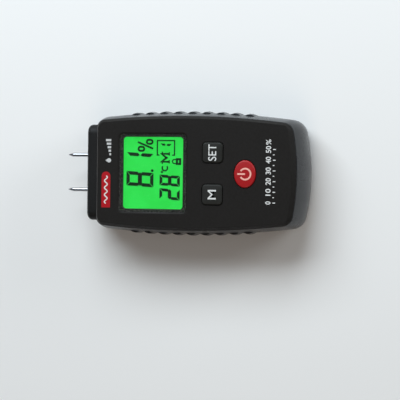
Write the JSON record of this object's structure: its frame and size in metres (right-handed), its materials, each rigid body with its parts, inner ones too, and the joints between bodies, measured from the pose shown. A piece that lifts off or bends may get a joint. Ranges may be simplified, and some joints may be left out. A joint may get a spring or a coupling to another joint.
{
  "type": "moisture meter",
  "caption": "Hand-held pin moisture meter with a backlit display, press keys, ribbed grip sides, a nose collar with two probe pins, and a sliding battery door.",
  "frame": {"origin": "bottom centre of the whole meter, on its flat back, half way from probe tips to tail", "axes": "+Y along the case towards the probe tips, +Z out of the display face, +X to the right when the display is read with the pins pointing away"},
  "size_m": [0.0642, 0.1291, 0.0288],
  "materials": {
    "cover_plastic": "fine matt texture",
    "housing_plastic": "fine matt texture, satin where handled",
    "collar_plastic": "fine matt texture",
    "brass": "turned",
    "pin_steel": "ground",
    "wire_sleeve": "smooth",
    "window_clear": "clear gloss",
    "gasket_foam": "foam",
    "display_face": "backlit, satin",
    "frame_plastic": "plain",
    "light_guide": "clear",
    "contact_rubber": "plain",
    "board_laminate": "lacquered",
    "chip_resin": "moulded",
    "capacitor_ceramic": "fired ceramic",
    "resistor_body": "glazed",
    "can_steel": "drawn",
    "bead_glass": "dipped",
    "screw_steel": "zinc plated",
    "gold_pad": "plated",
    "mat_rubber": "silicone",
    "key_rubber": "satin silicone",
    "power_rubber": "satin silicone",
    "pill_carbon": "plain",
    "cell_sleeve": "shrunk sleeve",
    "spring_steel": "nickel plated wire",
    "plate_steel": "nickel plated",
    "label_paper": "printed film, left blank",
    "legend_ink": "printed ink",
    "badge_red": "printed ink",
    "segment_dark": "liquid crystal segments"
  },
  "bodies": {
    "case": {"front_cover": "cover_plastic", "rear_housing": "housing_plastic", "nose_collar": "collar_plastic", "probe_socket_left": "brass", "probe_socket_right": "brass", "probe_pin_left": "pin_steel", "probe_pin_right": "pin_steel", "probe_wire_left": "wire_sleeve", "probe_wire_right": "wire_sleeve", "display_window": "window_clear", "window_gasket": "gasket_foam", "display_glass": "display_face", "display_frame": "frame_plastic", "light_guide": "light_guide", "contact_strip_nose": "contact_rubber", "contact_strip_tail": "contact_rubber", "circuit_board": "board_laminate", "controller_chip": "chip_resin", "measuring_chip": "chip_resin", "capacitors": "capacitor_ceramic", "resistors": "resistor_body", "crystal": "can_steel", "thermistor": "bead_glass", "board_screws": "screw_steel", "key_contacts": "gold_pad", "key_mat": "mat_rubber", "battery_1": "cell_sleeve", "battery_2": "cell_sleeve", "battery_3": "cell_sleeve", "battery_spring_1": "spring_steel", "battery_spring_2": "spring_steel", "battery_spring_3": "spring_steel", "battery_plate_positive": "plate_steel", "battery_plate_negative": "plate_steel", "battery_link_nose": "plate_steel", "battery_link_tail": "plate_steel", "case_screws": "screw_steel", "rating_label": "label_paper"},
    "set_key": {"set_key": "key_rubber", "set_pill": "pill_carbon"},
    "mode_key": {"mode_key": "key_rubber", "mode_pill": "pill_carbon"},
    "power_key": {"power_key": "power_rubber", "power_pill": "pill_carbon"},
    "battery_door": {"battery_door": "housing_plastic"}
  },
  "joints": [
    {"name": "set_key_press", "type": "slide", "parent": "case", "child": "set_key", "axis": [0, 0, -1], "range_m": [0, 0.0008], "stiffness_N_per_m": 900},
    {"name": "mode_key_press", "type": "slide", "parent": "case", "child": "mode_key", "axis": [0, 0, -1], "range_m": [0, 0.0008], "stiffness_N_per_m": 900},
    {"name": "power_key_press", "type": "slide", "parent": "case", "child": "power_key", "axis": [0, 0, -1], "range_m": [0, 0.0008], "stiffness_N_per_m": 900},
    {"name": "battery_door_slide", "type": "slide", "parent": "case", "child": "battery_door", "axis": [0, -1, 0], "range_m": [0, 0.062]}
  ]
}
